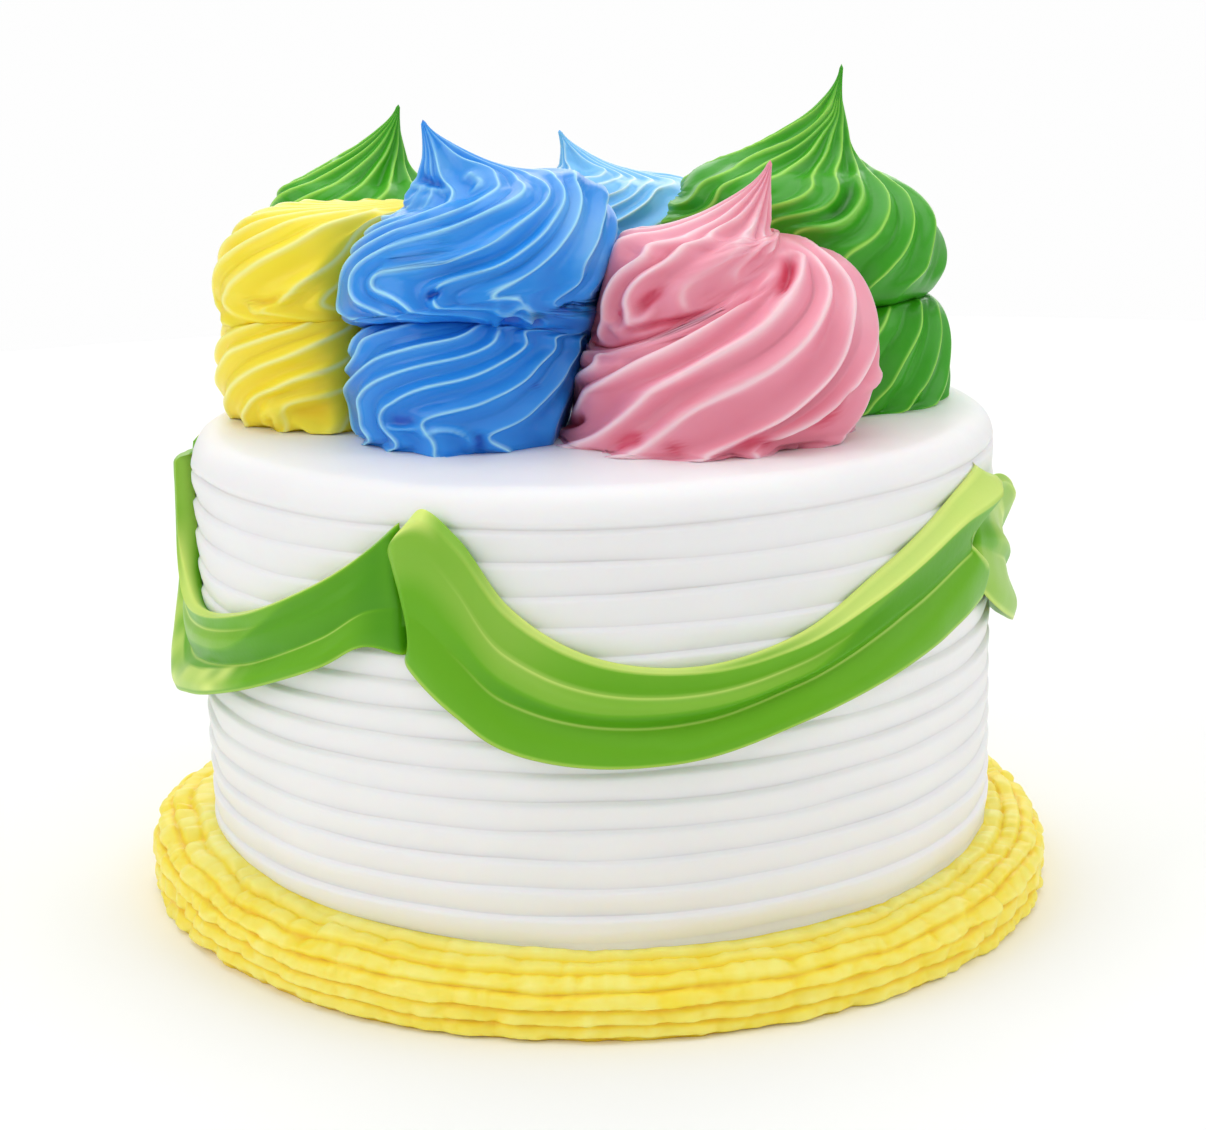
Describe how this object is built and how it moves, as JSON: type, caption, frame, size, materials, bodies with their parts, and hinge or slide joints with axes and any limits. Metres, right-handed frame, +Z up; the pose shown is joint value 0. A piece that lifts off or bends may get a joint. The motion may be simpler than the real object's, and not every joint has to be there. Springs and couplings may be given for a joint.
{
  "type": "birthday cake",
  "caption": "Tall round birthday cake in combed white icing, with a rough yellow border, draped lime-green icing swags and a ring of large piped swirls in bright colours on top.",
  "frame": {"origin": "middle of the cake's flat underside, at table height", "axes": "+Z up through the cake, -Y towards the front with the blue and the pink swirl, +X to the right seen from the front"},
  "size_m": [0.1857, 0.1824, 0.1625],
  "materials": {
    "icing_white": "satin white icing, combed",
    "icing_yellow": "soft sheen yellow icing",
    "icing_blue": "glossy blue icing",
    "icing_pink": "glossy pink icing",
    "icing_green": "glossy green icing",
    "icing_lime": "glossy lime-green icing"
  },
  "bodies": {
    "root": {"cake_body": "icing_white", "border": "icing_yellow", "swag_left": "icing_lime", "swag_front": "icing_lime", "swag_right": "icing_lime", "swag_back_right": "icing_lime", "swag_back_left": "icing_lime", "swirl_yellow": "icing_yellow", "swirl_blue_front": "icing_blue", "swirl_pink": "icing_pink", "swirl_green_right": "icing_green", "swirl_blue_back": "icing_blue", "swirl_green_left": "icing_green"}
  },
  "joints": []
}
